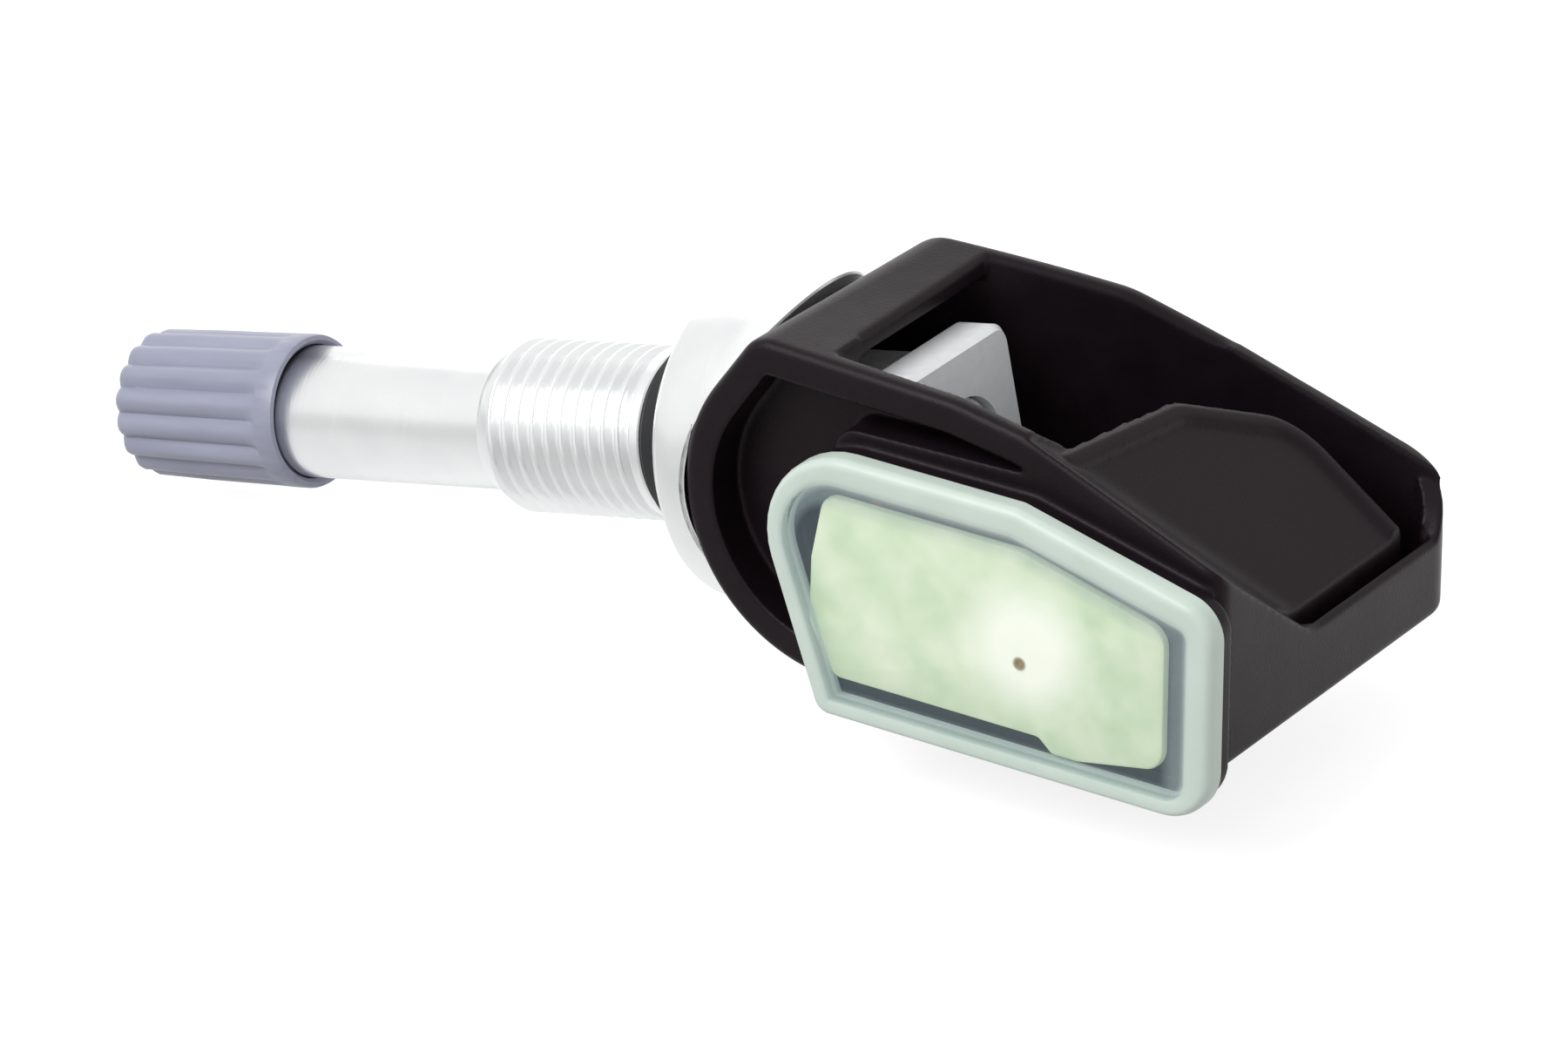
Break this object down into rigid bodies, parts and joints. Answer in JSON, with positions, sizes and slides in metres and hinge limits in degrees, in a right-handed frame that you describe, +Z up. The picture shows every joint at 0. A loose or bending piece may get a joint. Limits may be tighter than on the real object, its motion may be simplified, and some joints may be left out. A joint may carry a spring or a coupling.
{
  "type": "tyre pressure sensor",
  "caption": "Tyre pressure sensor: moulded housing with a translucent cover, swivelling on a threaded clamp-in valve with a cap and a sprung core.",
  "frame": {"origin": "on the valve axis where the rim thread ends at its rubber seal", "axes": "X along the valve axis from the cap towards the housing, Z up, swivel axis parallel to Y"},
  "size_m": [0.0803, 0.0289, 0.0257],
  "materials": {
    "cap_plastic": "satin moulded",
    "rubber": "matte",
    "stem_metal": "bright turned",
    "brass": "turned",
    "steel": "plated",
    "block_metal": "satin",
    "housing_plastic": "satin moulded",
    "cover_resin": "translucent resin",
    "board": "laminate",
    "tab_metal": "plated",
    "chip": "matte",
    "ferrite": "matte",
    "copper": "drawn",
    "ceramic": "matte"
  },
  "bodies": {
    "valve": {"valve_stem": "stem_metal", "stem_seal": "rubber", "core_body": "brass", "core_seal": "rubber", "core_spring": "steel", "clamp_block": "block_metal", "clamp_screw": "steel"},
    "sensor": {"housing": "housing_plastic", "cover": "cover_resin", "circuit_board": "board", "battery": "steel", "battery_tab_plus": "tab_metal", "battery_tab_minus": "tab_metal", "pressure_sensor": "chip", "transmitter_chip": "chip", "crystal": "steel", "coil_core": "ferrite", "coil_winding": "copper", "antenna": "copper", "capacitors": "ceramic"},
    "cap_liner": {"cap_seal": "rubber"},
    "cap": {"valve_cap": "cap_plastic"},
    "core": {"core_pin": "brass", "core_cup": "rubber"}
  },
  "joints": [
    {"name": "housing_swivel", "type": "hinge", "parent": "valve", "child": "sensor", "pos_m": [0.0162, 0, -0.0006], "axis": [0, 1, 0], "range_deg": [-6, 10]},
    {"name": "cap_lift", "type": "slide", "parent": "valve", "child": "cap_liner", "axis": [-1, 0, 0], "range_m": [0, 0.0072]},
    {"name": "cap_turn", "type": "hinge", "parent": "cap_liner", "child": "cap", "pos_m": [-0.033, 0, 0], "axis": [-1, 0, 0], "range_deg": [0, 3168]},
    {"name": "core_press", "type": "slide", "parent": "valve", "child": "core", "axis": [1, 0, 0], "range_m": [0, 0.0015], "stiffness_N_per_m": 300, "springref_m": -0.001, "deforming": ["core_spring"]}
  ],
  "couplings": [
    {"joint": "cap_lift", "follows": "cap_turn", "m_per_rad": 0.00012637}
  ]
}
